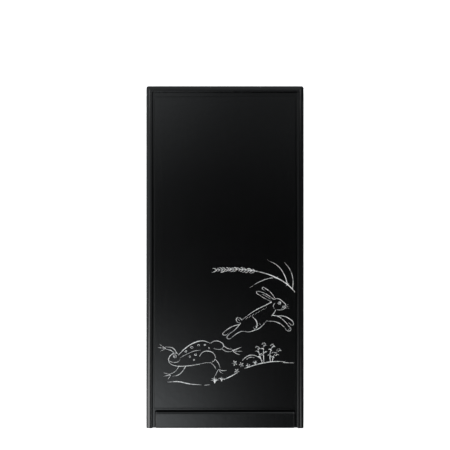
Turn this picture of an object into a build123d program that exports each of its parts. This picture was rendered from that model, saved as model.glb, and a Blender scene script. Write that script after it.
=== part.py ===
"""Slide-lid calligraphy case: a flat black box for an ink stick, inkstone, water dropper and brush.

Millimetres. +Z is up, +Y runs from the pull end to the back, and X runs from side to side.
The origin is at the centre of the case, on the surface that it stands on.

The case is built from boards. Three walls carry a crowned rim and a groove, and the front wall stops
under the groove, so that the lid's tongues run out over it. The lid is a rebated board with a pull
batten glued on its front end, and a fingertip goes in the slot between them. Dividers stand inside.
"""

import os

from build123d import *

os.makedirs("parts", exist_ok=True)

# Case, outside.
case_length = 250.0
case_width = 115.0
case_height = 32.0
wall = 4.5
rim_flat = 0.7  # level part of the rim, beside the lid
rim_crown_drop = 0.9  # how much the rim falls from there to its outer edge
rim_outer_round = 0.6
rim_inner_round = 0.5
corner_round = 1.8  # upright corners at the back
wall_end_round = 0.9  # front ends of the side walls
wall_foot_round = 0.6
front_setback = 0.8  # front wall, behind the side walls' ends

# Base.
pad_thickness = 1.0  # felt under the case
pad_inset = 5.0
pad_corner = 6.0
base_board_thickness = 3.5
base_rebate = 2.2  # how far the base board is let into the walls

# Lid.
lid_recess = 0.9  # rim top down to the raised field
lid_thickness = 6.0
tongue_thickness = 3.0
groove_depth = 2.5
slide_gap = 0.3  # around the tongues, and over the front wall
side_reveal = 1.2  # wall to raised field
back_reveal = 3.2
field_back_round = 0.6
field_front_round = 0.5
field_side_round = 0.5
pull_depth = 12.9  # batten, front to back
pull_reveal = 1.6  # wall to the batten's ends
pull_front_round = 1.0
pull_end_round = 1.3
pull_heel = 0.4  # upright part of the batten's back, under its large round
finger_slot = 1.5  # between batten and raised field
finger_slot_depth = 0.8  # below the tongues' top face
lid_underside_chamfer = 0.4

# Dividers and felt lining.
lining_thickness = 0.8
lining_play = 0.3
divider = 3.0
divider_headroom = 6.6  # divider top to the lid's underside
divider_round = 0.8
divider_housing = 1.0  # cross dividers, let into the long one
finger_dip_depth = 5.5
finger_dip_width = 30.0
finger_dip_round = 2.0
brush_bay = 20.0
dropper_bay = 67.0
stick_bay = 26.0

# Inkstone.
stone_play = 2.5  # to the bay's ends
stone_side_play = 3.5
stone_headroom = 2.8
stone_corner = 3.0
stone_edge_round = 1.0
stone_rim = 5.5
stone_floor = 5.0  # thinnest stone, under the deep end
land_depth = 2.4  # rim to the grinding surface, at its front
land_fall = 1.2  # how much lower the grinding surface is at the deep end
deep_end = 34.0  # length of the ink pool
well_corner = 6.0
brink_round = 0.8  # radii in the pool's section, as shares of its fall
pool_round = 0.4

# Ink stick.
stick_play = 3.0  # to the cross dividers
stick_end_play = 3.5
stick_thickness = 9.0
stick_round = 1.4
stick_frame = 2.0
stick_panel_depth = 0.6
medallion_radius = 5.0
medallion_offset = 24.0

# Water dropper.
dropper_play = 11.0  # to the bay's ends
dropper_side_play = 11.5
dropper_headroom = 3.0
dropper_corner = 9.0
dropper_edge_round = 4.0
dropper_shell = 2.5
air_hole_radius = 1.6
spout_hole_radius = 1.3
spout_inset = 9.0
spout_lip = 1.2

# Brush, along Y.
brush_end_play = 3.7
brush_axis_rise = 6.7  # axis above the felt
handle_radius = 3.75
handle_tail_round = 1.5
handle_node_rise = 0.3
handle_node_length = 1.6
collar_lip = 0.5  # how much the collar stands out from the handle
collar_length = 14.0
spigot_length = 6.0  # handle's end, inside the collar
spigot_wall = 1.2
hair_root = 6.0  # hair inside the collar
hair_root_wall = 1.0
hair_belly = 0.3  # how much the hair swells past its root
hair_length = 24.0
cap_clearance = 0.08  # on the collar
cap_shell = 0.8
cap_end = 1.6
cap_overlap = 16.0  # cap's mouth, behind the collar's front face
cap_tip_room = 6.0  # hair tip to the cap's end
cap_free_room = 2.0  # hair tip to the cap's mouth when it is pulled off
cap_vent_radius = 1.5
rest_thickness = 6.0
rest_rise = 1.2  # rest top above the brush's axis
rest_notch_gap = 0.25
front_rest_from_tail = 24.0
back_rest_from_collar = 26.0

# Places worked out from the sizes above.
half_length = case_length / 2
half_width = case_width / 2
wall_bottom = pad_thickness
base_top = wall_bottom + base_board_thickness
lining_top = base_top + lining_thickness
field_top = case_height - lid_recess
lid_bottom = field_top - lid_thickness
tongue_top = lid_bottom + tongue_thickness
groove_bottom = lid_bottom - slide_gap
groove_top = tongue_top + slide_gap
inner_x = half_width - wall
inner_back = half_length - wall
front_face = -half_length + front_setback
inner_front = front_face + wall
tongue_reach = groove_depth - slide_gap
field_front = -half_length + pull_depth + finger_slot
field_back = inner_back - back_reveal
brush_x = -inner_x + brush_bay / 2
divider_x = -inner_x + brush_bay + divider / 2
bay_left = divider_x + divider / 2
bay_width = inner_x - bay_left
bay_x = (bay_left + inner_x) / 2
divider_height = lid_bottom - divider_headroom - base_top
back_divider_y = inner_back - dropper_bay - divider / 2
front_divider_y = back_divider_y - stick_bay - divider
stone_bay_back = front_divider_y - divider / 2
stick_bay_y = (front_divider_y + back_divider_y) / 2
dropper_bay_front = back_divider_y + divider / 2


def ready(piece, name):
    """Labels a finished piece and writes it to its own STEP file."""
    piece.part.label = name
    export_step(piece.part, f"parts/{name}.step")


def wall_section(plane):
    """Section of a rimmed wall: local X runs inwards from the outer face, and local Y is up."""
    crown_start = (wall - rim_flat, case_height)
    crown_end = (0, case_height - rim_crown_drop)
    with BuildSketch(plane) as section:
        with BuildLine():
            Polyline(
                crown_start, (wall, case_height), (wall, wall_bottom), (0, wall_bottom), crown_end
            )
            TangentArc(crown_start, crown_end, tangent=(-1, 0))
        make_face()
        for corner, corner_fillet in (
            (crown_end, rim_outer_round),
            ((wall, case_height), rim_inner_round),
            ((0, wall_bottom), wall_foot_round),
        ):
            fillet(section.vertices().sort_by_distance(corner)[0], corner_fillet)
        with Locations((wall - groove_depth / 2, (groove_bottom + groove_top) / 2)):
            Rectangle(groove_depth, groove_top - groove_bottom, mode=Mode.SUBTRACT)
    return section.sketch


def slab(x_range, y_range, plane_z):
    """Flat rectangle between two X values and two Y values, on a level plane."""
    with BuildSketch(Plane.XY.offset(plane_z)) as outline:
        with Locations((sum(x_range) / 2, sum(y_range) / 2)):
            Rectangle(x_range[1] - x_range[0], y_range[1] - y_range[0])
    return outline.sketch


# The outline that the upright corners of all the walls are rounded to.
with BuildSketch(Plane.XY.offset(wall_bottom)) as case_outline:
    Rectangle(case_width, case_length)
    front_corners = case_outline.vertices().group_by(Axis.Y)[0]
    fillet(front_corners, wall_end_round)
    back_corners = case_outline.vertices().group_by(Axis.Y)[-1]
    fillet(back_corners, corner_round)

# The outline of the base board, which every wall is rebated for.
base_outline = slab(
    (-inner_x - base_rebate, inner_x + base_rebate),
    (inner_front - base_rebate, inner_back + base_rebate),
    wall_bottom,
)

# The three rimmed walls are one moulding, mitred where the sides meet the back.
left_section_plane = Plane(
    origin=(-half_width, -half_length, 0), x_dir=(1, 0, 0), z_dir=(0, -1, 0)
)
back_section_plane = Plane(
    origin=(half_width, half_length, 0), x_dir=(0, -1, 0), z_dir=(-1, 0, 0)
)
left_mitre = Plane(origin=(-half_width, half_length, 0), z_dir=(1, 1, 0))
right_mitre = Plane(origin=(half_width, half_length, 0), z_dir=(-1, 1, 0))

# Side walls: rim and lid groove, which is open at the front so that the lid slides out.
with BuildPart() as left_wall:
    extrude(wall_section(left_section_plane), amount=-case_length)
    split(bisect_by=left_mitre, keep=Keep.BOTTOM)
    extrude(case_outline.sketch, amount=case_height - wall_bottom, mode=Mode.INTERSECT)
    extrude(base_outline, amount=base_board_thickness, mode=Mode.SUBTRACT)
ready(left_wall, "left_wall")

with BuildPart() as right_wall:
    mirror(left_wall.part, about=Plane.YZ)
ready(right_wall, "right_wall")

# Back wall: the same moulding, whose groove takes the lid's back tongue.
with BuildPart() as back_wall:
    extrude(wall_section(back_section_plane), amount=case_width)
    split(bisect_by=left_mitre, keep=Keep.TOP)
    split(bisect_by=right_mitre, keep=Keep.TOP)
    extrude(case_outline.sketch, amount=case_height - wall_bottom, mode=Mode.INTERSECT)
    extrude(base_outline, amount=base_board_thickness, mode=Mode.SUBTRACT)
ready(back_wall, "back_wall")

# Front wall: low, butted between the side walls, rebated for the base board.
with BuildPart() as front_wall:
    extrude(
        slab((-inner_x, inner_x), (front_face, inner_front), wall_bottom),
        amount=groove_bottom - wall_bottom,
    )
    top_edges = front_wall.faces().sort_by(Axis.Z)[-1].edges().filter_by(Axis.X)
    fillet(top_edges, rim_inner_round)
    extrude(base_outline, amount=base_board_thickness, mode=Mode.SUBTRACT)
ready(front_wall, "front_wall")

# Base board: let into the rebates of all four walls, flush with their feet.
with BuildPart() as base_board:
    extrude(base_outline, amount=base_board_thickness)
ready(base_board, "base_board")

# Base felt: one sheet glued under the base board, that the case stands on.
with BuildPart() as base_felt:
    with BuildSketch():
        RectangleRounded(case_width - 2 * pad_inset, case_length - 2 * pad_inset, pad_corner)
    extrude(amount=pad_thickness)
ready(base_felt, "base_felt")

# Long divider: between the brush bay and the other three, with housings for the cross dividers.
with BuildPart() as long_divider:
    extrude(
        slab((divider_x - divider / 2, bay_left), (inner_front, inner_back), base_top),
        amount=divider_height,
    )
    top_edges = long_divider.faces().sort_by(Axis.Z)[-1].edges().filter_by(Axis.Y)
    fillet(top_edges, divider_round)
    for cross_y in (front_divider_y, back_divider_y):
        extrude(
            slab(
                (bay_left - divider_housing, bay_left),
                (cross_y - divider / 2, cross_y + divider / 2),
                base_top,
            ),
            amount=divider_height,
            mode=Mode.SUBTRACT,
        )
ready(long_divider, "long_divider")

# Cross dividers: either side of the ink stick, each with a dip for a finger and thumb.
for cross_name, cross_y in (
    ("front_cross_divider", front_divider_y),
    ("back_cross_divider", back_divider_y),
):
    dip_bottom = base_top + divider_height - finger_dip_depth
    with BuildPart() as cross_divider:
        extrude(
            slab(
                (bay_left - divider_housing, inner_x),
                (cross_y - divider / 2, cross_y + divider / 2),
                base_top,
            ),
            amount=divider_height,
        )
        with BuildSketch(Plane.XZ.offset(-cross_y)):
            with Locations((bay_x, dip_bottom + finger_dip_depth)):
                RectangleRounded(finger_dip_width, 2 * finger_dip_depth, finger_dip_round)
        extrude(amount=divider / 2, both=True, mode=Mode.SUBTRACT)
        top_edges = [
            edge
            for edge in cross_divider.edges().filter_by(Axis.X)
            if edge.center().Z > base_top + divider_height - divider_round
        ]
        fillet(top_edges, divider_round)
    ready(cross_divider, cross_name)

# Lid panel: a board rebated on three sides into thin tongues, with a slot behind the pull batten.
with BuildPart() as lid_panel:
    with BuildSketch(Plane.YZ.offset(-inner_x + side_reveal)) as field_section:
        with Locations(((field_front + field_back) / 2, (tongue_top + field_top) / 2)):
            Rectangle(field_back - field_front, field_top - tongue_top)
        front_corner = field_section.vertices().group_by(Axis.Y)[-1].sort_by(Axis.X)[0]
        fillet(front_corner, field_front_round)
        back_corner = field_section.vertices().group_by(Axis.Y)[-1].sort_by(Axis.X)[-1]
        fillet(back_corner, field_back_round)
    extrude(amount=2 * (inner_x - side_reveal))
    side_edges = [
        edge
        for side in lid_panel.faces().filter_by(Axis.X)
        for level in side.edges().group_by(Axis.Z)[1:]
        for edge in level
    ]
    fillet(side_edges, field_side_round)
    extrude(
        slab(
            (-inner_x - tongue_reach, inner_x + tongue_reach),
            (-half_length, inner_back + tongue_reach),
            lid_bottom,
        ),
        amount=tongue_thickness,
    )
    under_edges = lid_panel.faces().sort_by(Axis.Z)[0].edges()
    chamfer(under_edges, lid_underside_chamfer)
    extrude(
        slab(
            (-inner_x + side_reveal, inner_x - side_reveal),
            (-half_length + pull_depth, field_front),
            tongue_top - finger_slot_depth,
        ),
        amount=finger_slot_depth,
        mode=Mode.SUBTRACT,
    )
ready(lid_panel, "lid_panel")

# Pull batten: glued across the lid's front end, level with the raised field. Its back is rounded over
# nearly its whole height, so that a fingertip in the slot gets behind it.
batten_height = field_top - tongue_top
with BuildPart() as pull_batten:
    with BuildSketch(Plane.YZ.offset(-inner_x + pull_reveal)) as batten_section:
        with Locations((-half_length + pull_depth / 2, tongue_top + batten_height / 2)):
            Rectangle(pull_depth, batten_height)
        top_front, top_back = batten_section.vertices().group_by(Axis.Y)[-1].sort_by(Axis.X)
        fillet(top_front, pull_front_round)
        top_back = batten_section.vertices().group_by(Axis.Y)[-1].sort_by(Axis.X)[-1]
        fillet(top_back, batten_height - pull_heel)
    extrude(amount=2 * (inner_x - pull_reveal))
    end_edges = [
        edge
        for end in pull_batten.faces().filter_by(Axis.X)
        for level in end.edges().group_by(Axis.Z)[1:]
        for edge in level
    ]
    fillet(end_edges, pull_end_round)
ready(pull_batten, "pull_batten")

# Brush rests: notched blocks across the brush bay, glued to the base board.
brush_z = lining_top + brush_axis_rise
brush_tail = inner_front + brush_end_play
cap_travel = cap_overlap + hair_length + cap_free_room
cap_front_end = inner_back - brush_end_play - cap_travel
collar_front = cap_front_end - cap_end - cap_tip_room - hair_length
collar_back = collar_front - collar_length
rest_places = (brush_tail + front_rest_from_tail, collar_back - back_rest_from_collar)
notch_radius = handle_radius + rest_notch_gap
with BuildPart() as brush_rests:
    for rest_y in rest_places:
        extrude(
            slab(
                (-inner_x, divider_x - divider / 2),
                (rest_y - rest_thickness / 2, rest_y + rest_thickness / 2),
                base_top,
            ),
            amount=brush_z + rest_rise - base_top,
        )
    with BuildSketch(Plane.XZ.offset(half_length)):
        with Locations((brush_x, brush_z)):
            Circle(notch_radius)
        with Locations((brush_x, brush_z + rest_rise)):
            Rectangle(2 * notch_radius, 2 * rest_rise)
    extrude(amount=-case_length, mode=Mode.SUBTRACT)
ready(brush_rests, "brush_rests")

# Felt lining of the brush bay, cut round the two rests.
with BuildPart() as brush_bay_felt:
    extrude(
        slab(
            (-inner_x + lining_play, divider_x - divider / 2 - lining_play),
            (inner_front + lining_play, inner_back - lining_play),
            base_top,
        ),
        amount=lining_thickness,
    )
    for rest_y in rest_places:
        cut = rest_thickness / 2 + lining_play
        extrude(
            slab((-inner_x, divider_x), (rest_y - cut, rest_y + cut), base_top),
            amount=lining_thickness,
            mode=Mode.SUBTRACT,
        )
ready(brush_bay_felt, "brush_bay_felt")

# Felt linings of the other three bays.
for felt_name, bay_front, bay_back in (
    ("stone_bay_felt", inner_front, stone_bay_back),
    ("stick_bay_felt", front_divider_y + divider / 2, back_divider_y - divider / 2),
    ("dropper_bay_felt", dropper_bay_front, inner_back),
):
    with BuildPart() as bay_felt:
        extrude(
            slab(
                (bay_left + lining_play, inner_x - lining_play),
                (bay_front + lining_play, bay_back - lining_play),
                base_top,
            ),
            amount=lining_thickness,
        )
    ready(bay_felt, felt_name)

# Inkstone: a flat block with a gently falling grinding surface and a deep pool at the back end.
stone_top = lid_bottom - stone_headroom
stone_width = bay_width - 2 * stone_side_play
stone_front = inner_front + stone_play
stone_back = stone_bay_back - stone_play
stone_y = (stone_front + stone_back) / 2
pool_back = stone_back - stone_rim
land_front = stone_front + stone_rim
land_back = pool_back - deep_end
pool_floor = lining_top + stone_floor
pool_slope = stone_top - land_depth - land_fall - pool_floor
with BuildPart() as well_form:
    with BuildSketch(Plane.YZ.offset(bay_x)) as well_section:
        with BuildLine():
            Polyline(
                (land_front, stone_top + stone_edge_round),
                (land_front, stone_top - land_depth),
                (land_back, stone_top - land_depth - land_fall),
                (land_back + pool_slope, pool_floor),
                (pool_back, pool_floor),
                (pool_back, stone_top + stone_edge_round),
                close=True,
            )
        make_face()
        for corner, corner_fillet in (
            ((land_front, stone_top - land_depth), land_depth / 2),
            ((land_back, stone_top - land_depth - land_fall), pool_slope * brink_round),
            ((land_back + pool_slope, pool_floor), pool_slope * pool_round),
            ((pool_back, pool_floor), pool_slope * pool_round),
        ):
            fillet(well_section.vertices().sort_by_distance(corner)[0], corner_fillet)
    extrude(amount=stone_width / 2 - stone_rim, both=True)
    with BuildSketch(Plane.XY.offset(lining_top)):
        with Locations((bay_x, stone_y)):
            RectangleRounded(stone_width - 2 * stone_rim, pool_back - land_front, well_corner)
    extrude(amount=stone_top + stone_edge_round - lining_top, mode=Mode.INTERSECT)
with BuildPart() as inkstone:
    with BuildSketch(Plane.XY.offset(lining_top)):
        with Locations((bay_x, stone_y)):
            RectangleRounded(stone_width, stone_back - stone_front, stone_corner)
    extrude(amount=stone_top - lining_top)
    top_edges = inkstone.faces().sort_by(Axis.Z)[-1].edges()
    foot_edges = inkstone.faces().sort_by(Axis.Z)[0].edges()
    fillet(top_edges, stone_edge_round)
    chamfer(foot_edges, stone_edge_round / 2)
    add(well_form.part, mode=Mode.SUBTRACT)
    mouth_edges = inkstone.faces().sort_by(Axis.Z)[-1].inner_wires()[0].edges()
    fillet(mouth_edges, stone_edge_round)
ready(inkstone, "inkstone")

# Ink stick: a moulded bar whose sunk panel holds two plain medallions and a lozenge.
stick_length = bay_width - 2 * stick_end_play
stick_width = stick_bay - 2 * stick_play
stick_top = lining_top + stick_thickness
with BuildPart() as ink_stick:
    extrude(
        slab(
            (bay_x - stick_length / 2, bay_x + stick_length / 2),
            (stick_bay_y - stick_width / 2, stick_bay_y + stick_width / 2),
            lining_top,
        ),
        amount=stick_thickness,
    )
    fillet(ink_stick.edges(), stick_round)
    with BuildSketch(Plane.XY.offset(stick_top)) as panel:
        with Locations((bay_x, stick_bay_y)):
            inset = 2 * (stick_round + stick_frame)
            RectangleRounded(stick_length - inset, stick_width - inset, stick_frame)
        with Locations(
            (bay_x - medallion_offset, stick_bay_y), (bay_x + medallion_offset, stick_bay_y)
        ):
            Circle(medallion_radius, mode=Mode.SUBTRACT)
        with Locations((bay_x, stick_bay_y)):
            RegularPolygon(medallion_radius, 4, mode=Mode.SUBTRACT)
    extrude(amount=-stick_panel_depth, mode=Mode.SUBTRACT)
ready(ink_stick, "ink_stick")

# Water dropper: a hollow glazed block, with an air hole in the middle and a lipped spout in a corner.
dropper_width = bay_width - 2 * dropper_side_play
dropper_depth = dropper_bay - 2 * dropper_play
dropper_top = lid_bottom - dropper_headroom
dropper_y = (dropper_bay_front + inner_back) / 2
spout_x = bay_x - dropper_width / 2 + spout_inset
spout_y = dropper_y + dropper_depth / 2 - spout_inset
with BuildPart() as dropper_hollow:
    with BuildSketch(Plane.XY.offset(lining_top + dropper_shell)):
        with Locations((bay_x, dropper_y)):
            RectangleRounded(
                dropper_width - 2 * dropper_shell,
                dropper_depth - 2 * dropper_shell,
                dropper_corner - dropper_shell,
            )
    extrude(amount=dropper_top - lining_top - 2 * dropper_shell)
    level_edges = dropper_hollow.edges().filter_by(Axis.Z, reverse=True)
    fillet(level_edges, dropper_edge_round - dropper_shell)
with BuildPart() as water_dropper:
    with BuildSketch(Plane.XY.offset(lining_top)):
        with Locations((bay_x, dropper_y)):
            RectangleRounded(dropper_width, dropper_depth, dropper_corner)
    extrude(amount=dropper_top - lining_top)
    top_edges = water_dropper.faces().sort_by(Axis.Z)[-1].edges()
    foot_edges = water_dropper.faces().sort_by(Axis.Z)[0].edges()
    fillet(top_edges, dropper_edge_round)
    fillet(foot_edges, dropper_edge_round / 4)
    with BuildSketch(Plane.XY.offset(dropper_top - dropper_shell / 2)):
        with Locations((spout_x, spout_y)):
            Circle(spout_hole_radius + spout_lip)
    extrude(amount=dropper_shell / 2 + spout_lip)
    lip_edges = water_dropper.faces().sort_by(Axis.Z)[-1].edges()
    fillet(lip_edges, spout_lip / 2)
    add(dropper_hollow.part, mode=Mode.SUBTRACT)
    with BuildSketch(Plane.XY.offset(lining_top + 2 * dropper_shell)):
        with Locations((bay_x, dropper_y)):
            Circle(air_hole_radius)
        with Locations((spout_x, spout_y)):
            Circle(spout_hole_radius)
    extrude(amount=case_height, mode=Mode.SUBTRACT)
ready(water_dropper, "water_dropper")

# Brush: each piece is turned about the brush's axis, whose local X runs towards the hair's tip.
brush_axis = Axis((brush_x, 0, brush_z), (0, 1, 0))
brush_plane = Plane(origin=(brush_x, 0, brush_z), x_dir=(0, 1, 0), z_dir=(1, 0, 0))
collar_radius = handle_radius + collar_lip
spigot_radius = collar_radius - spigot_wall
hair_radius = collar_radius - hair_root_wall
cap_bore = collar_radius + cap_clearance

cane_node_y = (rest_places[0] + rest_places[1]) / 2

# Handle: a straight cane with one low node, turned down to a spigot at its front end.
with BuildPart() as brush_handle:
    with BuildSketch(brush_plane):
        with Locations(((brush_tail + collar_back) / 2, handle_radius / 2)):
            Rectangle(collar_back - brush_tail, handle_radius)
        with Locations((collar_back + spigot_length / 2, spigot_radius / 2)):
            Rectangle(spigot_length, spigot_radius)
        with Locations((cane_node_y, (handle_radius + handle_node_rise) / 2)):
            Rectangle(handle_node_length, handle_radius + handle_node_rise)
    revolve(axis=brush_axis)
    tail_edge = brush_handle.edges().sort_by(Axis.Y)[0]
    fillet(tail_edge, handle_tail_round)
ready(brush_handle, "brush_handle")

# Collar: holds the handle's spigot at the back and the root of the hair at the front.
with BuildPart() as brush_collar:
    with BuildSketch(brush_plane):
        with Locations(((collar_back + collar_front) / 2, collar_radius / 2)):
            Rectangle(collar_length, collar_radius)
        with Locations((collar_back + spigot_length / 2, spigot_radius / 2)):
            Rectangle(spigot_length, spigot_radius, mode=Mode.SUBTRACT)
        with Locations((collar_front - hair_root / 2, hair_radius / 2)):
            Rectangle(hair_root, hair_radius, mode=Mode.SUBTRACT)
    revolve(axis=brush_axis)
ready(brush_collar, "brush_collar")

# Hair: a round root glued in the collar, a slight belly and a long point.
with BuildPart() as brush_hair:
    with BuildSketch(brush_plane):
        with BuildLine():
            Polyline(
                (collar_front, hair_radius),
                (collar_front - hair_root, hair_radius),
                (collar_front - hair_root, 0),
                (collar_front + hair_length, 0),
            )
            Spline(
                (collar_front, hair_radius),
                (collar_front + hair_length / 3, hair_radius + hair_belly),
                (collar_front + hair_length * 3 / 4, hair_radius / 2),
                (collar_front + hair_length, 0),
            )
        make_face()
    revolve(axis=brush_axis)
ready(brush_hair, "brush_hair")

# Cap: a cane tube that slides over the collar, with a vent hole in its closed end.
cap_mouth = collar_front - cap_overlap
with BuildPart() as brush_cap:
    with BuildSketch(brush_plane):
        with Locations(((cap_mouth + cap_front_end) / 2, (cap_bore + cap_shell) / 2)):
            Rectangle(cap_front_end - cap_mouth, cap_bore + cap_shell)
        with Locations(((cap_mouth + cap_front_end - cap_end) / 2, cap_bore / 2)):
            Rectangle(cap_front_end - cap_end - cap_mouth, cap_bore, mode=Mode.SUBTRACT)
        with Locations((cap_front_end, cap_vent_radius / 2)):
            Rectangle(4 * cap_end, cap_vent_radius, mode=Mode.SUBTRACT)
    revolve(axis=brush_axis)
    end_rim = brush_cap.edges().group_by(Axis.Y)[-1].sort_by(SortBy.LENGTH)[-1]
    fillet(end_rim, cap_shell)
ready(brush_cap, "brush_cap")
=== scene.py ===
import random
from math import cos, pi, radians, sin

import bmesh
import bpy
from mathutils import Matrix, Vector


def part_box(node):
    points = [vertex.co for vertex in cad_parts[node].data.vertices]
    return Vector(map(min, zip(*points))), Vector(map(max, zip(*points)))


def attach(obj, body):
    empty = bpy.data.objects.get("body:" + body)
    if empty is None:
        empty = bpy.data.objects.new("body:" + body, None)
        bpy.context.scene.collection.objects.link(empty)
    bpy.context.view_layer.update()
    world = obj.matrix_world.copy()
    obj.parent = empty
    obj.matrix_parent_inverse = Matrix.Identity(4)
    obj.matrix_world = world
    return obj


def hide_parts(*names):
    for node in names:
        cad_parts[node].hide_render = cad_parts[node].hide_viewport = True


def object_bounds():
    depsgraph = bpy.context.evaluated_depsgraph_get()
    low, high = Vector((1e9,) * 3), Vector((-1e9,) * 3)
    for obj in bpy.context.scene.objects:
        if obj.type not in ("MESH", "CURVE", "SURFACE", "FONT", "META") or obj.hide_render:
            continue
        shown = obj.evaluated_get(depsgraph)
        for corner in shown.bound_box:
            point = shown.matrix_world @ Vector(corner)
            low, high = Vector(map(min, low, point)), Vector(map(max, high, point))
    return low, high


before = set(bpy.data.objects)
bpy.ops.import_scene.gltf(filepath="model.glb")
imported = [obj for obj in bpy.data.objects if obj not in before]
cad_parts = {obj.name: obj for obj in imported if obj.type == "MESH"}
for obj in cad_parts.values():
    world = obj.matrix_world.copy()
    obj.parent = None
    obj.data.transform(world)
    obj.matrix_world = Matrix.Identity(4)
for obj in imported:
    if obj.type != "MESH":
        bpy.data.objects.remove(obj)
cad_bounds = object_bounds()

# --------------------------------------------------------------------------------------------------
# Stage: a white light table in a dim tent. The tent's roof is dark where the middle of the lid mirrors
# it, with round soft panels hung round that place, the brightest over the near left corner. A key lamp
# on the left is mirrored by the case's left rim; three large soft lamps stand off the other corners.

rim_height = cad_bounds[1][2]


class Value:
    """A number or a colour that nodes work out; arithmetic on it adds Math nodes."""

    def __init__(self, shader, socket):
        self.shader, self.socket = shader, socket

    def math(self, operation, *others):
        return self.shader.node("ShaderNodeMath", {"operation": operation}, [self, *others])

    def __add__(self, other):
        return self.math("ADD", other)

    def __mul__(self, other):
        return self.math("MULTIPLY", other)

    def __sub__(self, other):
        return self.math("SUBTRACT", other)

    def __rsub__(self, other):
        return self.shader.node("ShaderNodeMath", {"operation": "SUBTRACT"}, [other, self])

    __radd__, __rmul__ = __add__, __mul__

    def step(self, low, high, to_low=0.0, to_high=1.0):
        """A smooth step from one value to another as this goes from low to high."""
        return self.shader.node(
            "ShaderNodeMapRange",
            {"interpolation_type": "SMOOTHSTEP"},
            {"Value": self, "From Min": low, "From Max": high, "To Min": to_low, "To Max": to_high},
        )


class Shader:
    """The nodes of a material or of the tent, which are all added by its one method."""

    def __init__(self, node_tree):
        self.nodes, self.links = node_tree.nodes, node_tree.links

    def node(self, kind, settings, sockets, output=0):
        """Adds a node, with its settings first and then its sockets, and returns one of its outputs."""
        made = self.nodes.new(kind)
        for name, value in settings.items():
            setattr(made, name, value)
        for key, value in sockets.items() if isinstance(sockets, dict) else enumerate(sockets):
            socket = made.inputs[key]
            if isinstance(value, Value):
                self.links.new(value.socket, socket)
            else:
                socket.default_value = (*value, 1) if socket.type == "RGBA" else value
        return Value(self, made.outputs[output])


tent_world = bpy.data.worlds.new("light_tent")
bpy.context.scene.world = tent_world
tent_world.use_nodes = True
tent = Shader(tent_world.node_tree)
tent_direction = tent.node("ShaderNodeTexCoord", {}, {}, "Generated")


def towards(direction):
    """Cosine of the angle between a place on the tent and a direction."""
    return tent.node(
        "ShaderNodeVectorMath",
        {"operation": "DOT_PRODUCT"},
        {0: tent_direction, 1: Vector(direction).normalized()},
        "Value",
    )


def panel_glow(direction, reach_degrees, strength):
    """A round soft panel on the roof, brightest in its middle and fading to nothing at its reach."""
    off_middle = towards(direction).math("ARCCOSINE")
    return off_middle.step(0, radians(reach_degrees), strength, 0)


def side_glow(direction, strength):
    """A long soft strip between the roof and one side of the tent, which stays dark lower down."""
    side = towards(direction)
    return side.step(0.05, 0.7) * side.step(0.8, 0.92, strength, 0)


# The roof's panels, the faint light of the tent's left and right halves, then its two side strips.
tent_glow = (
    panel_glow((-0.078, -0.153, 1), 6, 4.2)
    + panel_glow((-0.065, 0.105, 1), 5, 0.6)
    + panel_glow((-0.11, 0.16, 1), 9, 1.1)
    + panel_glow((0.07, 0.11, 1), 6, 0.35)
    + towards((-1, 0, 0)).step(0.02, 0.08, 0, 0.2)
    + towards((1, 0, 0)).step(0.03, 0.1, 0, 0.1)
    + side_glow((-1, 0, 0), 0.65)
    + side_glow((0, 1, 0), 0.6)
)
tent.links.new(tent_glow.socket, tent_world.node_tree.nodes["Background"].inputs["Strength"])
tent_world.node_tree.nodes["Background"].inputs["Color"].default_value = (0.92, 0.97, 1, 1)

table_reach = 6
table = bmesh.new()
bmesh.ops.create_grid(table, x_segments=1, y_segments=1, size=table_reach)
table_mesh = bpy.data.meshes.new("light_table")
table.to_mesh(table_mesh)
table.free()
light_table = bpy.data.objects.new("light_table", table_mesh)
bpy.context.scene.collection.objects.link(light_table)
table_paint = bpy.data.materials.new("white_acrylic")
table_paint.use_nodes = True
for socket, value in (
    ("Base Color", (0.92, 0.92, 0.92, 1)),
    ("Roughness", 0.9),
    ("Emission Color", (1, 1, 1, 1)),
    ("Emission Strength", 0.7),
):
    table_paint.node_tree.nodes["Principled BSDF"].inputs[socket].default_value = value
light_table.data.materials.append(table_paint)

lamp_height = 1.6
for lamp_name, x, y, size, watts in (
    ("key_lamp", -0.9, -0.45, 0.6, 5),
    ("far_left_lamp", -0.8, 0.8, 0.9, 7),
    ("near_right_lamp", 0.8, -0.8, 0.9, 6),
    ("far_right_lamp", 0.8, 0.8, 0.9, 7),
):
    lamp = bpy.data.lights.new(lamp_name, "AREA")
    lamp.shape = "SQUARE"
    lamp.size = size
    lamp.energy = watts
    stand = bpy.data.objects.new(lamp_name, lamp)
    stand.location = (x, y, lamp_height)
    facing = Vector((0, 0, rim_height)) - stand.location
    stand.rotation_euler = facing.to_track_quat("-Z", "Y").to_euler()
    bpy.context.scene.collection.objects.link(stand)

# The lens looks straight down, a little behind the middle of the case, from above its rim.
lens_height = 1.2
lens_setback = 0.0235
seen_width = 0.3286  # across the frame, at the rim's height
lens = bpy.data.cameras.new("lens")
lens.sensor_width = 36
lens.lens = lens.sensor_width * lens_height / seen_width
camera = bpy.data.objects.new("camera", lens)
camera.location = (0, lens_setback, rim_height + lens_height)
bpy.context.scene.collection.objects.link(camera)
bpy.context.scene.camera = camera
bpy.context.scene.view_settings.view_transform = "Standard"

# --------------------------------------------------------------------------------------------------
# Base board, dividers and brush rests: thin straight-grained boards under one coat of dark red
# lacquer, which the grain shows through. All of them are glued.


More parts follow.
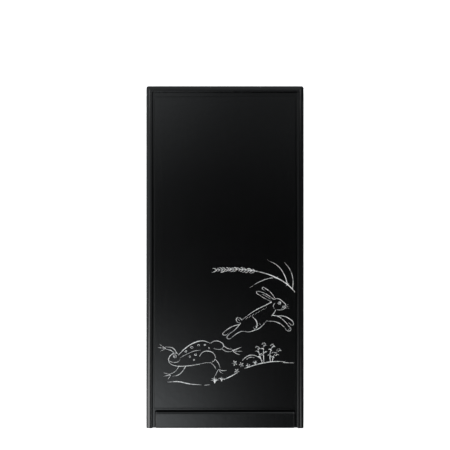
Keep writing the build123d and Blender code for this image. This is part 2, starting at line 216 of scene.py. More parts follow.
class Finish(Shader):
    """A procedural material: a Principled surface, and the nodes that colour and roughen it."""

    def __init__(self, name, **constants):
        self.material = bpy.data.materials.new(name)
        self.material.use_nodes = True
        super().__init__(self.material.node_tree)
        self.surface = self.nodes["Principled BSDF"]
        for socket_name, value in constants.items():
            socket = self.surface.inputs[socket_name.replace("_", " ")]
            socket.default_value = (*value, 1) if socket.type == "RGBA" else value
        self.place = self.node("ShaderNodeTexCoord", {}, {}, "Object")

    def axis(self, index):
        """One coordinate of the place on the surface, in metres."""
        return self.node("ShaderNodeSeparateXYZ", {}, [self.place], index)

    def off_centre(self, index, centre):
        """Distance from a place on one axis, to either side."""
        return (self.axis(index) - centre).math("ABSOLUTE")

    def noise(self, scale, stretch=(1, 1, 1), detail=3, roughness=0.5, shift=(0, 0, 0)):
        """Soft noise from 0 to 1, with this many features a metre, drawn out along an axis by stretch."""
        placed = self.node(
            "ShaderNodeMapping", {}, {"Vector": self.place, "Scale": stretch, "Location": shift}
        )
        return self.node(
            "ShaderNodeTexNoise",
            {},
            {"Vector": placed, "Scale": scale, "Detail": detail, "Roughness": roughness},
        )

    def mix(self, factor, first, second):
        """A colour between two colours."""
        return self.node(
            "ShaderNodeMix", {"data_type": "RGBA"}, {"Factor": factor, 6: first, 7: second}, 2
        )

    def bump(self, height, depth):
        """Raises the surface by the height value times depth, in metres."""
        raised = self.node("ShaderNodeBump", {}, {"Height": height, "Distance": depth}, "Normal")
        self.set(Normal=raised)

    def set(self, **sockets):
        """Links values to the surface's own sockets."""
        for socket_name, value in sockets.items():
            self.links.new(value.socket, self.surface.inputs[socket_name.replace("_", " ")])


def dress(finish, *names):
    """Gives CAD nodes this finish and no other."""
    for name in names:
        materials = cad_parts[name].data.materials
        materials.clear()
        materials.append(finish.material)


def red_lacquer(name, stretch):
    """One thin coat of lacquer over straight grain, which runs along the axis that is drawn out."""
    coat = Finish(name, Roughness=0.4, Coat_Weight=0.3, Coat_Roughness=0.2)
    grain = coat.noise(520, stretch, detail=5, roughness=0.62)
    bands = coat.noise(70, stretch, detail=2, shift=(0.3, 0.2, 0))
    pores = coat.noise(1500, stretch, detail=1, shift=(0.1, 0.4, 0)).step(0.62, 0.7)
    tone = grain * 0.55 + bands * 0.45
    lacquered = coat.mix(tone.step(0.36, 0.64), (0.045, 0.006, 0.004), (0.15, 0.022, 0.012))
    coat.set(
        Base_Color=coat.mix(pores * 0.8, lacquered, (0.018, 0.004, 0.003)),
        Roughness=0.3 + bands * 0.14 + pores * 0.2,
    )
    coat.bump(grain * 0.6 - pores * 0.8, 0.00008)
    return coat


dress(red_lacquer("long_board_lacquer", (1, 0.045, 1)), "base_board", "long_divider")
dress(
    red_lacquer("cross_board_lacquer", (0.045, 1, 1)),
    "front_cross_divider",
    "back_cross_divider",
    "brush_rests",
)

# --------------------------------------------------------------------------------------------------
# Case walls: softwood moulding under many coats of black lacquer, rubbed down to a satin. The left,
# right and back walls carry the rim and are mitred; the low front wall is butted between them.


def black_lacquer(name):
    """Satin black lacquer: brushed on unevenly, with faint rubbing marks and specks of dust under it."""
    coat = Finish(name, Roughness=0.15, IOR=1.5)
    cloud = coat.noise(9, detail=2)
    rubbing = coat.noise(1400, (1, 0.03, 1), detail=1, shift=(0.2, 0, 0)).step(0.5, 0.9)
    specks = coat.noise(1600, detail=0).step(0.79, 0.84)
    coat.set(
        Base_Color=coat.mix(specks * 0.5, (0.0008, 0.0008, 0.0009), (0.02, 0.02, 0.02)),
        Roughness=0.11 + cloud * 0.03 + rubbing * 0.02 + specks * 0.1,
    )
    coat.bump(coat.noise(260, detail=2), 0.000008)
    return coat


dress(black_lacquer("case_lacquer"), "left_wall", "right_wall", "back_wall", "front_wall")

# --------------------------------------------------------------------------------------------------
# Felts: pressed wool, black under the base board and charcoal in the four bays. They are cut with a
# knife and glued down; the fibres lie every way, and the surface is slightly uneven.


def wool_felt(name, dark, light, sheen):
    """Pressed wool: fibres that cross in patches, soft lumps, stray pale hairs and a low sheen."""
    felt = Finish(name, Roughness=0.95, Sheen_Weight=0.4, Sheen_Roughness=0.6, Sheen_Tint=sheen)
    along = felt.noise(2100, (1, 0.22, 1), detail=2)
    across = felt.noise(2100, (0.22, 1, 1), detail=2, shift=(0.1, 0, 0))
    crossing = felt.noise(260, detail=1, shift=(0.4, 0, 0)).step(0.4, 0.6)
    weave = (
        along * crossing
        + across * (1 - crossing)
        + felt.noise(2600, detail=3, shift=(0.2, 0, 0)) * 1.4
    ) * (1 / 2.4)
    stray_hairs = felt.noise(1100, (1, 0.07, 1), detail=1, shift=(0.3, 0, 0)).step(0.74, 0.8)
    lumps = felt.noise(90, detail=3)
    wool = felt.mix((weave * 0.75 + lumps * 0.25).step(0.4, 0.6), dark, light)
    felt.set(
        Base_Color=felt.mix(stray_hairs * 0.5, wool, sheen),
        Roughness=0.86 + weave * 0.14,
    )
    felt.bump(weave * 0.8 + lumps * 0.6, 0.0004)
    return felt


dress(
    wool_felt("black_felt", (0.006, 0.006, 0.007), (0.035, 0.035, 0.038), (0.2, 0.2, 0.22)),
    "base_felt",
)
dress(
    wool_felt("charcoal_felt", (0.03, 0.033, 0.037), (0.13, 0.138, 0.152), (0.34, 0.36, 0.39)),
    "brush_bay_felt",
    "stone_bay_felt",
    "stick_bay_felt",
    "dropper_bay_felt",
)

# --------------------------------------------------------------------------------------------------
# Inkstone: a block of dark slate, honed on top and left sawn at the sides. Old ink has dried black
# and smooth in the pool and over the deep half of the grinding surface.

stone_low, stone_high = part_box("inkstone")
stone_middle = (stone_low + stone_high) / 2
stone_half = (stone_high - stone_low) / 2
slate = Finish("slate", Roughness=0.5, IOR=1.5)
bedding = slate.noise(36, (1, 0.35, 3), detail=6, roughness=0.6)
grit = slate.noise(2400, detail=2)
mica = slate.noise(3200, detail=0, shift=(0.3, 0, 0)).step(0.76, 0.82)
vein_field = slate.noise(22, (0.5, 1.4, 1), detail=8, roughness=0.7, shift=(0.7, 0.2, 0))
veins = vein_field.step(0.485, 0.5) * vein_field.step(0.5, 0.515, 1, 0)
sunk = slate.axis(2).step(stone_high.z - 0.0022, stone_high.z - 0.0017, 1, 0)
inked = sunk * (slate.axis(1) + bedding * 0.05).step(stone_middle.y, stone_middle.y + 0.05)
sawn = slate.off_centre(0, stone_middle.x).step(stone_half.x - 0.0006, stone_half.x - 0.0001)
stone_colour = slate.mix(bedding.step(0.3, 0.7), (0.026, 0.028, 0.034), (0.07, 0.073, 0.083))
stone_colour = slate.mix(veins * 0.28, stone_colour, (0.16, 0.165, 0.17))
stone_colour = slate.mix(mica * 0.6, stone_colour, (0.25, 0.26, 0.27))
stone_colour = slate.mix(sawn * 0.35, stone_colour, (0.13, 0.135, 0.14))
slate.set(
    Base_Color=slate.mix(inked * 0.93, stone_colour, (0.006, 0.0055, 0.006)),
    Roughness=0.5 + grit * 0.12 + sawn * 0.2 - inked * 0.28,
)
slate.bump(grit * (0.4 + sawn) + bedding * 0.5 - inked * grit * 0.4, 0.00012)
dress(slate, "inkstone")

# --------------------------------------------------------------------------------------------------
# Ink stick: soot and hide glue pressed in a wooden mould, then rubbed until the edges shine. A gilded
# blossom is painted on each round medallion, and a gilded ring on the lozenge between them.

stick_low, stick_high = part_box("ink_stick")
stick_middle = (stick_low + stick_high) / 2
stick_half = (stick_high - stick_low) / 2
soot = Finish("pressed_soot", Roughness=0.45, IOR=1.5)
mould_grain = soot.noise(1300, (0.12, 1, 1), detail=3)
bloom = soot.noise(70, detail=4)
side_rub = soot.off_centre(1, stick_middle.y).step(stick_half.y - 0.0022, stick_half.y - 0.0008)
end_rub = soot.off_centre(0, stick_middle.x).step(stick_half.x - 0.0022, stick_half.x - 0.0008)
rubbed = side_rub.math("MAXIMUM", end_rub)
dusty = bloom.step(0.45, 0.75) * (1 - rubbed)
soot.set(
    Base_Color=soot.mix(dusty, (0.0065, 0.006, 0.0065), (0.026, 0.024, 0.029)),
    Roughness=0.4 + bloom.step(0.35, 0.7) * 0.2 - rubbed * 0.22,
)
soot.bump(mould_grain, 0.00008)
dress(soot, "ink_stick")

gold = Finish("rubbed_gold", Metallic=1.0, Roughness=0.36)
rub = gold.noise(1900, detail=3)
gold.set(
    Base_Color=gold.mix(rub.step(0.3, 0.66), (0.42, 0.24, 0.07), (0.86, 0.6, 0.24)),
    Roughness=0.28 + rub * 0.3,
)
gold.bump(rub, 0.00004)
gold_film = 0.00008
gold_bottom = stick_high.z - gold_film / 4


def gild(name, flat_shape):
    """Thickens a flat shape on the stick's top face into a film of gold, which rides with the stick."""
    lifted = bmesh.ops.extrude_face_region(flat_shape, geom=flat_shape.faces[:])["geom"]
    raised = [part for part in lifted if isinstance(part, bmesh.types.BMVert)]
    bmesh.ops.translate(flat_shape, verts=raised, vec=(0, 0, gold_film))
    bmesh.ops.recalc_face_normals(flat_shape, faces=flat_shape.faces[:])
    film_mesh = bpy.data.meshes.new(name)
    flat_shape.to_mesh(film_mesh)
    flat_shape.free()
    film_mesh.materials.append(gold.material)
    film = bpy.data.objects.new(name, film_mesh)
    bpy.context.scene.collection.objects.link(film)
    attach(film, "case")


medallion_offset = 0.024
petal_count = 5
petal_radius = 0.0013
petal_reach = 0.0023
for side, side_name in ((-1, "left"), (1, "right")):
    blossom = bmesh.new()
    middle = Vector((stick_middle.x + side * medallion_offset, stick_middle.y, gold_bottom))
    for petal in range(petal_count):
        turn = 2 * pi * petal / petal_count + pi / 2
        disc = bmesh.ops.create_circle(blossom, cap_ends=True, segments=24, radius=petal_radius)
        outwards = Vector((cos(turn), sin(turn), 0))
        bmesh.ops.translate(blossom, verts=disc["verts"], vec=middle + outwards * petal_reach)
    heart = bmesh.ops.create_circle(blossom, cap_ends=True, segments=20, radius=petal_radius * 0.4)
    bmesh.ops.translate(blossom, verts=heart["verts"], vec=middle)
    gild(f"gilt_blossom_{side_name}", blossom)

lozenge_outer = 0.0038
lozenge_inner = 0.0024
lozenge = bmesh.new()
for reach in (lozenge_outer, lozenge_inner):
    bmesh.ops.create_circle(lozenge, segments=4, radius=reach)
bmesh.ops.bridge_loops(lozenge, edges=lozenge.edges[:])
lozenge_middle = (stick_middle.x, stick_middle.y, gold_bottom)
bmesh.ops.translate(lozenge, verts=lozenge.verts[:], vec=lozenge_middle)
gild("gilt_lozenge", lozenge)

# --------------------------------------------------------------------------------------------------
# Water dropper: cast porcelain under a pale celadon glaze that pools in the low edge, thins at the
# top edge and has crazed a little. The foot is wiped clean of glaze and shows the buff clay.

dropper_low, dropper_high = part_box("water_dropper")
celadon = Finish("celadon_glaze", Roughness=0.08, IOR=1.5, Coat_Weight=0.6, Coat_Roughness=0.04)
pooling = celadon.noise(45, detail=3)
wander = celadon.node("ShaderNodeTexNoise", {}, {"Vector": celadon.place, "Scale": 240}, "Color")
bent_place = celadon.node(
    "ShaderNodeVectorMath", {"operation": "MULTIPLY_ADD"}, [wander, (0.0035,) * 3, celadon.place]
)
cells = celadon.node(
    "ShaderNodeTexVoronoi", {"feature": "DISTANCE_TO_EDGE"}, {"Vector": bent_place, "Scale": 260}
)
crazed = celadon.noise(40, detail=2, shift=(0.4, 0, 0)).step(0.42, 0.6)
cracks = cells.step(0, 0.035, 1, 0) * crazed
dropper_z = celadon.axis(2)
bare_foot = dropper_z.step(dropper_low.z + 0.0009, dropper_low.z + 0.0013, 1, 0)
low_pool = dropper_z.step(dropper_low.z + 0.001, dropper_low.z + 0.007, 1, 0)
thin_edge = dropper_z.step(dropper_high.z - 0.0042, dropper_high.z - 0.0024) * dropper_z.step(
    dropper_high.z - 0.0016, dropper_high.z - 0.0013, 1, 0
)
glaze = celadon.mix(pooling.step(0.3, 0.7), (0.44, 0.55, 0.46), (0.56, 0.645, 0.56))
glaze = celadon.mix(low_pool * 0.6, glaze, (0.29, 0.41, 0.33))
glaze = celadon.mix(thin_edge * 0.5, glaze, (0.74, 0.78, 0.72))
glaze = celadon.mix(cracks * 0.32, glaze, (0.22, 0.26, 0.2))
celadon.set(
    Base_Color=celadon.mix(bare_foot, glaze, (0.5, 0.38, 0.26)),
    Roughness=0.07 + pooling * 0.06 + bare_foot * 0.6,
    Coat_Weight=0.6 - bare_foot * 0.6,
)
celadon.bump(pooling * 0.7 + bare_foot * celadon.noise(1500, detail=2) * 0.2, 0.0003)
dress(celadon, "water_dropper")

# --------------------------------------------------------------------------------------------------
# Brush: a polished cane handle with one node, and a cane cap that pulls off the collar. Both canes are
# streaked along their length, darker at the node, and show their pale fibres where they are cut.

handle_low, handle_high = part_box("brush_handle")
cap_low, cap_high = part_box("brush_cap")
collar_low, collar_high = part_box("brush_collar")
rest_low, rest_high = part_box("brush_rests")


def polished_cane(name, low, high, node_y):
    """Cane between two ends on Y: streaks, freckles, a stained node and pale cut ends."""
    cane = Finish(name, Roughness=0.28, Coat_Weight=0.5, Coat_Roughness=0.12)
    streaks = cane.noise(1100, (1, 0.02, 1), detail=4)
    tone = cane.noise(55, (1, 0.25, 1), detail=3)
    freckles = cane.noise(700, (1, 0.35, 1), detail=1, shift=(0.5, 0, 0)).step(0.66, 0.74)
    off_node = cane.off_centre(1, node_y)
    node_ring = off_node.step(0.0004, 0.0015, 1, 0)
    node_stain = (off_node + tone * 0.006).step(0.003, 0.012, 1, 0)
    cut = cane.axis(1).step(low, low + 0.0001, 1, 0) + cane.axis(1).step(high - 0.0001, high)
    skin = (streaks * 0.55 + tone * 0.45).step(0.36, 0.62)
    colour = cane.mix(skin, (0.33, 0.17, 0.055), (0.58, 0.38, 0.16))
    colour = cane.mix(freckles * 0.4, colour, (0.18, 0.08, 0.025))
    colour = cane.mix(node_stain * 0.5, colour, (0.24, 0.11, 0.035))
    colour = cane.mix(node_ring * 0.6, colour, (0.14, 0.065, 0.025))
    fibre_ends = cane.noise(3000, (1, 0.01, 1), detail=1).step(0.45, 0.6)
    end_grain = cane.mix(fibre_ends, (0.5, 0.36, 0.18), (0.22, 0.12, 0.05))
    cane.set(
        Base_Color=cane.mix(cut, colour, end_grain),
        Roughness=0.24 + streaks * 0.12 + cut * 0.4,
        Coat_Weight=0.5 - cut * 0.5,
    )
    cane.bump(streaks, 0.00005)
    return cane


dress(
    polished_cane("handle_cane", handle_low.y, handle_high.y, (rest_low.y + rest_high.y) / 2),
    "brush_handle",
)
dress(polished_cane("cap_cane", cap_low.y, cap_high.y, cap_high.y - 0.007), "brush_cap")

# The collar is turned horn, polished, smoky brown with paler flecks along its grain.
horn = Finish("turned_horn", Roughness=0.16, Coat_Weight=0.7, Coat_Roughness=0.05)
fleck = horn.noise(420, (1, 0.2, 1), detail=4)
horn.set(
    Base_Color=horn.mix(fleck.step(0.5, 0.75), (0.012, 0.0075, 0.005), (0.16, 0.09, 0.045)),
    Roughness=0.13 + fleck * 0.12,
)
horn.bump(horn.noise(2500, (0.1, 1, 0.1), detail=1), 0.00002)
dress(horn, "brush_collar")

# The hair is goat hair, starched to a point: a turned bundle, and separate hairs that lie along it
# and meet at the tip.
hair_low, hair_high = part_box("brush_hair")
brush_x = (hair_low.x + hair_high.x) / 2
brush_z = (hair_low.z + hair_high.z) / 2
hair_root_y = collar_high.y - 0.0005
hair_reach = hair_high.y - 0.0004 - hair_root_y
root_radius = 0.003
belly_swell = 0.00025
belly_end = 0.7  # share of the length that the belly takes


def bundle_radius(share):
    """The bundle's radius at a share of its length, from the root to the tip."""
    belly = root_radius + belly_swell * sin(pi * min(1, share / belly_end))
    return belly * max(0, 1 - share**2.4) ** 0.85


hair = Finish("goat_hair", Roughness=0.5, Sheen_Weight=0.3, Sheen_Roughness=0.4)
hair_streaks = hair.noise(5200, (1, 0.03, 1), detail=3)
towards_tip = hair.axis(1).step(hair_root_y, hair_high.y)
hair_colour = hair.mix(hair_streaks.step(0.35, 0.65), (0.42, 0.3, 0.17), (0.78, 0.68, 0.5))
hair.set(
    Base_Color=hair.mix(towards_tip * 0.6, hair_colour, (0.3, 0.19, 0.1)),
    Roughness=0.42 + hair_streaks * 0.2,
)
hair.bump(hair_streaks, 0.0001)

bundle_steps = 18
bundle_sides = 40
bundle = bmesh.new()
profile = [
    bundle.verts.new((bundle_radius(step / bundle_steps), step / bundle_steps * hair_reach, 0))
    for step in range(bundle_steps + 1)
]
outline = [bundle.edges.new(pair) for pair in zip(profile, profile[1:])]
bmesh.ops.spin(
    bundle,
    geom=profile + outline,
    cent=(0, 0, 0),
    axis=(0, 1, 0),
    angle=2 * pi,
    steps=bundle_sides,
    use_merge=True,
)
bmesh.ops.remove_doubles(bundle, verts=bundle.verts[:], dist=0.000001)
root_edges = [edge for edge in bundle.edges if edge.is_boundary]
bmesh.ops.holes_fill(bundle, edges=root_edges)
bmesh.ops.recalc_face_normals(bundle, faces=bundle.faces[:])
bundle_mesh = bpy.data.meshes.new("hair_bundle")
bundle.to_mesh(bundle_mesh)
bundle.free()
bundle_mesh.transform(Matrix.Translation((brush_x, hair_root_y, brush_z)))
bundle_mesh.materials.append(hair.material)
bundle_mesh.shade_smooth()
hair_bundle = bpy.data.objects.new("hair_bundle", bundle_mesh)
bpy.context.scene.collection.objects.link(hair_bundle)
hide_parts("brush_hair")
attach(hair_bundle, "case")

hair_count = 240
hair_points = 5
hair_thickness = 0.00011
hair_draw = random.Random(11)
strands = bpy.data.curves.new("loose_hairs", "CURVE")
strands.dimensions = "3D"
strands.bevel_depth = hair_thickness
strands.bevel_resolution = 0
strands.resolution_u = 3
for strand in range(hair_count):
    start_turn = 2 * pi * strand / hair_count
    drift = hair_draw.uniform(-0.25, 0.25)
    end_share = hair_draw.uniform(0.72, 0.985)
    one_hair = strands.splines.new("NURBS")
    one_hair.points.add(hair_points - 1)
    for index, point in enumerate(one_hair.points):
        share = end_share * index / (hair_points - 1)
        turn = start_turn + drift * share
        reach = bundle_radius(share) - hair_thickness * 0.3
        point.co = (reach * cos(turn), share * hair_reach, reach * sin(turn), 1)
        point.radius = 1 - 0.7 * share
    one_hair.order_u = 4
    one_hair.use_endpoint_u = True
strand_object = bpy.data.objects.new("loose_hairs", strands)
strand_mesh = bpy.data.meshes.new_from_object(strand_object)
bpy.data.objects.remove(strand_object)
strand_mesh.transform(Matrix.Translation((brush_x, hair_root_y, brush_z)))
strand_mesh.materials.clear()
strand_mesh.materials.append(hair.material)
loose_hairs = bpy.data.objects.new("loose_hairs", strand_mesh)
bpy.context.scene.collection.objects.link(loose_hairs)
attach(loose_hairs, "case")

# --------------------------------------------------------------------------------------------------
# Lid: a board with thin tongues on three sides, which run in the walls' grooves, and the pull batten
# glued across its front end. Both are lacquered and rubbed down like the case.

dress(black_lacquer("lid_lacquer"), "lid_panel", "pull_batten")

# --------------------------------------------------------------------------------------------------
# Print: a line drawing in matt white ink, screened on the lid in a film of up to 0.03 mm. Wild grass
# leans over a bounding hare, and a frog crosses low ground. The lines are in millimetres from the
# middle of the case, each as one pull of a dry brush that swells, wavers and lifts.

lid_low, lid_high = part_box("lid_panel")
print_rise = 0.07  # height of a line over its half width
waver = 0.13  # how far the hand strays, in millimetres
drawing = bpy.data.curves.new("lid_drawing", "CURVE")
drawing.dimensions = "3D"
drawing.bevel_depth = 1
drawing.bevel_resolution = 0
drawing.resolution_u = 7
hand = random.Random(5)


def line(*points, width=0.5, start=0.8, end=0.25):
    """A brush line through points: pressed to its full width in the middle, lighter at its two ends."""
    pull = drawing.splines.new("BEZIER")
    pull.bezier_points.add(len(points) - 1)
    for index, (place, (x, y)) in enumerate(zip(pull.bezier_points, points)):
        share = index / (len(points) - 1)
        lightest = start + (end - start) * share
        pressure = lightest + (1 - (start + end) / 2) * sin(pi * share)
        x += hand.uniform(-waver, waver)
        y += hand.uniform(-waver, waver)
        place.co = (x / 1000, y / 1000, 0)
        place.handle_left_type = place.handle_right_type = "AUTO"
        place.radius = width / 2000 * pressure * hand.uniform(0.5, 1.15)


def ring(x, y, radius, flatness=1.0, width=0.45):
    """A small closed line, such as an eye."""
    turns = [2 * pi * step / 6 for step in range(7)]
    line(
        *((x + radius * cos(turn), y + radius * flatness * sin(turn)) for turn in turns),
        width=width,
        start=0.9,
        end=0.9,
    )


def dab(x, y, size=0.7):
    """A short press of the brush."""
    line((x - size / 2, y - size / 6), (x + size / 2, y + size / 6), width=size, start=0.5, end=0.5)


# Wild grass: a stem that leans in from the lid's right edge, its leaves, and a nodding seed head.
stem = ((51, -25.5), (46, -20.4), (38, -15.2), (28, -11.6), (17, -9.4), (6, -8.8), (-5.5, -9.6))
line(*stem, width=0.7, start=0.8)
line((37.6, -15), (32.4, -15.4), (25, -18), (17.6, -22.6), width=0.6, start=0.9, end=0.15)
line((45.6, -20), (43.6, -13.4), (38.6, -6.6), (31, -2), width=0.55, start=0.9, end=0.15)
line((49.4, -23.8), (49.8, -16.6), (47.4, -9), (43.4, -3.6), width=0.5, start=0.9, end=0.15)
for node_x, node_y in ((45.8, -20.2), (37.8, -15.1)):
    line((node_x - 0.9, node_y - 0.8), (node_x + 0.9, node_y + 0.8), width=0.8, start=0.8, end=0.8)
seed_pairs = 14
for pair in range(seed_pairs):
    x = -6 + 30 * pair / seed_pairs
    y = -8.8 - 0.0055 * (x - 6) ** 2
    for side, droop in ((-1, 0.35), (1, -0.1)):
        length = hand.uniform(1.2, 3.6)
        lift = side * hand.uniform(0.5, 1.3) - droop * length / 3
        line((x, y), (x - length / 2, y + lift), (x - length, y + lift * 1.1 - 0.3), width=0.5, end=0.5)

# Hare: head, ears laid back, eye, whiskers.
line(
    (35.4, -30.9), (38.6, -30.4), (41.8, -32.1), (44.4, -35.2), (43.9, -37.1), (41, -38.4), (37.2, -38.2)
)
line((35.6, -30.6), (31, -27.6), (26.5, -25.6), (23, -25.3), (25.8, -28.2), (30, -30.7), (34, -32.6))
line((36.8, -30.3), (33.8, -26.2), (30.5, -23.5), (27.3, -22.3), (29.3, -24.9))
line((27.2, -26.9), (30.2, -28.5), (33, -30.5), width=0.4)
ring(39.9, -33.5, 1.05, 0.85)
dab(40, -33.5, 1.1)
line((43.9, -36.1), (42.4, -36.6), (41.2, -37.5), width=0.4)
for whisker in range(3):
    line((42, -35.9 - whisker * 0.5), (46.8, -34.6 - whisker * 1.3), width=0.26)
line((36.4, -33.5), (35.3, -35.6), (36.2, -37.8), width=0.45)

# Hare: back, tail, haunch, belly and chest.
line((34, -32.8), (29.3, -35.3), (23.5, -38), (17.6, -41.9), (12.6, -46), width=0.75)
line((12.6, -46), (10.2, -44.2), (8.3, -45.2), (8.9, -47.3), (11.4, -48.2), width=0.55)
line((9.4, -45.4), (10.7, -46.5), width=0.4)
line((20.2, -43.6), (23.2, -47.2), (22.6, -51.8), (18.6, -54.4), (13.6, -54.2), width=0.65)
line((19.6, -54.1), (24.3, -52.4), (28, -49.4), (30.8, -46.2))
line((37.3, -38.2), (35.9, -40.8), (33.6, -43.3))
for tick in range(7):
    share = tick / 6
    x, y = 30.5 - 14 * share, -36.5 - 7.4 * share
    line((x, y), (x - 1.6, y - 1.7), width=0.32)
for tick in range(4):
    line((26 - tick * 1.5, -49.6 - tick * 0.9), (24.9 - tick * 1.5, -48.2 - tick * 0.9), width=0.3)

# Hare: hind legs stretched back, forelegs reaching down to land.
line((11.4, -48.2), (9.4, -51), (6.6, -53.6), (3, -56.4), (1.4, -58.9), (2.8, -59.8), (5.2, -58.4))
line((5.2, -58.4), (8, -56.2), (10.6, -54.8), (13.6, -54.2))
line(
    (10.2, -49.4), (6.8, -50.2), (3, -52), (-0.4, -54.4), (-1.6, -56.4), (0.2, -56.9), (2.8, -55.8),
    width=0.5,
)
line((34.4, -42.4), (38.8, -43.4), (43, -46.4), (46.4, -50.3), (48, -53), (46.2, -53.9), (43.2, -51))
line((43.2, -51), (40.2, -48.7), (36.4, -47.2), (31, -46.8), width=0.55)
line((37.8, -42.9), (42.4, -43), (46.8, -45), (50, -48.4), (49.4, -49.8), (46.6, -47.9), width=0.55)
for toe in range(2):
    line((46.3 + toe * 0.7, -53 + toe * 0.5), (47.3 + toe * 0.5, -52.2 + toe * 0.4), width=0.28)

# Frog: back with its fold, belly, mouth, eye and spots.
line((-41.4, -74.9), (-40, -72.2), (-37.6, -70.3), (-34.9, -70.4), (-33.8, -71.6), width=0.65)
line((-33.8, -71.4), (-29.2, -66.8), (-23, -62.8), (-16.2, -61.2), (-10.6, -62.8), width=0.7)
line(
    (-41.4, -74.9), (-40.3, -77.6), (-35.6, -79.5), (-28.6, -79.6), (-21, -78.6), (-14, -77),
    width=0.6,
)
line((-41, -75.7), (-37.6, -76.9), (-34.2, -76.2), (-32.6, -74.4), width=0.42)
line((-32.9, -73.4), (-27.4, -70.6), (-21.8, -68.4), (-17.4, -68), width=0.38)
ring(-36.7, -72.4, 1.15, 0.9)
dab(-36.9, -72.4, 1.1)
for x, y, radius in (
    (-28.6, -68.9, 0.75),
    (-24.2, -66, 0.9),
    (-19.2, -64.4, 0.8),
    (-14.6, -64.2, 0.6),
    (-25.8, -72.8, 0.6),
    (-21.4, -71.2, 0.75),
    (-22.6, -75, 0.5),
    (-11.6, -66.4, 0.5),
):
    ring(x, y, radius, 0.75, 0.38)

# Frog: the far hind leg trailing, the near one pushing off, and the two forelegs.
line(
    (-10.6, -62.8), (-7.4, -61.2), (-3.4, -61.8), (-1, -64.2), (-2.4, -66.8), (-5.6, -67.4),
    (-8.4, -66.6),
)
line((-1.2, -64.6), (2, -66.8), (5.6, -67.2))
line((-2.4, -66.8), (1, -69), (5, -69))
for toe_x, toe_y in ((11.8, -65.6), (12.6, -68.6), (10.8, -71.4)):
    line((5.2, -68.1), ((5.2 + toe_x) / 2, (toe_y - 68.9) / 2), (toe_x, toe_y), width=0.45)
line(
    (-18.6, -72.4), (-16, -69.4), (-11.4, -68.8), (-7.8, -71.2), (-7.6, -75), (-10.8, -77.2),
    (-14.2, -76.8),
)
line((-7.4, -74.4), (-4.8, -77.6), (-3.6, -81.2))
line((-10.6, -77.2), (-8, -79.4), (-6.4, -82.2))
for toe_x, toe_y in ((1.4, -82.6), (-1.2, -85.2), (-7.4, -86.6)):
    line((-5, -81.9), ((-5 + toe_x) / 2, (toe_y - 83.2) / 2), (toe_x, toe_y), width=0.45)
line((-33.4, -79.2), (-35, -82), (-38, -84.6), (-40.6, -85.4))
line((-28.6, -79.4), (-30.6, -83), (-34.2, -86), (-38.4, -87.2))
for toe_x, toe_y in ((-44.8, -84.6), (-44.8, -87.2), (-41.8, -89.2)):
    line((-39.6, -86.2), ((-39.6 + toe_x) / 2, (toe_y - 85.8) / 2), (toe_x, toe_y), width=0.45)
line((-36.8, -70.4), (-39.6, -68.2), (-43.6, -67.2), width=0.5)
line((-34.9, -70.5), (-38, -66.6), (-43.2, -65.4), width=0.5)
for toe_x, toe_y in ((-48, -63.6), (-48.8, -66), (-47.2, -68.6)):
    line((-43.2, -66.3), ((-43.2 + toe_x) / 2, (toe_y - 66.8) / 2), (toe_x, toe_y), width=0.42)

# Ground: broken lines that rise to the right.
for ground in (
    ((-42, -91.2), (-34, -91), (-25.5, -92.6), (-17.2, -93.4)),
    ((-14.8, -93.6), (-11, -93.2)),
    ((-1, -89.6), (4.6, -87), (9.4, -84)),
    ((14.4, -81.4), (20.4, -79.2), (28, -77.4), (36, -76.3), (44, -76.2)),
    ((42.6, -76.9), (50.4, -77.2)),
):
    line(*ground, width=0.7)

# Grass tufts: blades that fan out from a root.
for root_x, root_y, reach, blades in ((-7.5, -92.2, 5.5, 7), (-2.6, -90.6, 4, 5), (22, -78.6, 3.4, 5)):
    for blade in range(blades):
        lean = (blade / (blades - 1) - 0.5) * 1.9 + hand.uniform(-0.1, 0.1)
        tall = reach * (1 - 0.35 * abs(lean)) * hand.uniform(0.85, 1.1)
        line(
            (root_x, root_y),
            (root_x + lean * tall * 0.35, root_y + tall * 0.6),
            (root_x + lean * tall * 0.9, root_y + tall * (1 - 0.25 * abs(lean))),
            width=0.5,
        )

# Small flowers: five petals, some on a stem.
for x, y, petal_length in ((7, -77.4, 1.9), (12, -78.6, 1.7), (8.6, -83.2, 1.8), (16.8, -79.4, 1.5)):
    for petal in range(5):
        turn = 2 * pi * petal / 5 + x
        line(
            (x + 0.3 * cos(turn), y + 0.3 * sin(turn)),
            (x + petal_length * cos(turn), y + petal_length * sin(turn)),
            width=0.75,
            start=0.5,
            end=0.9,
        )

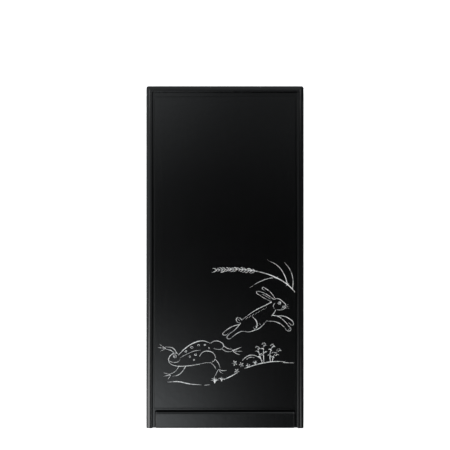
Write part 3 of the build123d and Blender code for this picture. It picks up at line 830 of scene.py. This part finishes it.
# A low mound, and flowering stems on the rise behind it.
line((12.6, -75.4), (16.4, -72.2), (20.6, -71.6), (25, -73.6), (28, -76.4), width=0.5)
line((15.6, -74.6), (18.6, -73), (21.6, -73.6), width=0.4)
for foot_x, foot_y, top_x, top_y in (
    (27, -77.2, 23.6, -66.4),
    (28.6, -77, 28.4, -63.8),
    (33, -76.6, 34.6, -64.8),
    (34.4, -76.4, 39.2, -68.2),
):
    bend = ((foot_x * 2 + top_x) / 3 - 0.5, (foot_y + top_y) / 2)
    line((foot_x, foot_y), bend, (top_x, top_y), width=0.5)
    for leaf in range(4):
        share = 0.35 + leaf * 0.18
        x, y = foot_x + (top_x - foot_x) * share, foot_y + (top_y - foot_y) * share
        side = 1 if leaf % 2 else -1
        line((x, y), (x + side * 1.3, y + 0.9), (x + side * 2.4, y + 0.6), width=0.6, end=0.4)
    for bud in range(4):
        turn = pi * (0.1 + 0.27 * bud)
        dab(top_x + 1.2 * cos(turn), top_y + 1.2 * sin(turn), 0.8)

drawing_object = bpy.data.objects.new("lid_drawing", drawing)
drawing_mesh = bpy.data.meshes.new_from_object(drawing_object)
bpy.data.objects.remove(drawing_object)
drawing_mesh.transform(Matrix.Translation((0, 0, lid_high.z)) @ Matrix.Scale(print_rise, 4, (0, 0, 1)))
white_ink = Finish("white_print", Roughness=0.6)
coverage = white_ink.noise(900, detail=3)
dry = white_ink.noise(620, detail=4, roughness=0.7, shift=(0.8, 0.1, 0)).step(0.4, 0.46, 1, 0)
pinholes = white_ink.noise(3800, detail=0, shift=(0.4, 0, 0)).step(0.74, 0.8)
white_ink.set(
    Base_Color=white_ink.mix(
        pinholes.math("MAXIMUM", dry) * 0.8,
        white_ink.mix(coverage.step(0.3, 0.55), (0.58, 0.59, 0.6), (0.94, 0.94, 0.93)),
        (0.02, 0.02, 0.02),
    ),
    Roughness=0.5 + coverage * 0.2,
)
white_ink.bump(coverage, 0.00003)
drawing_mesh.materials.clear()
drawing_mesh.materials.append(white_ink.material)
lid_print = bpy.data.objects.new("lid_drawing", drawing_mesh)
bpy.context.scene.collection.objects.link(lid_print)
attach(lid_print, "lid")
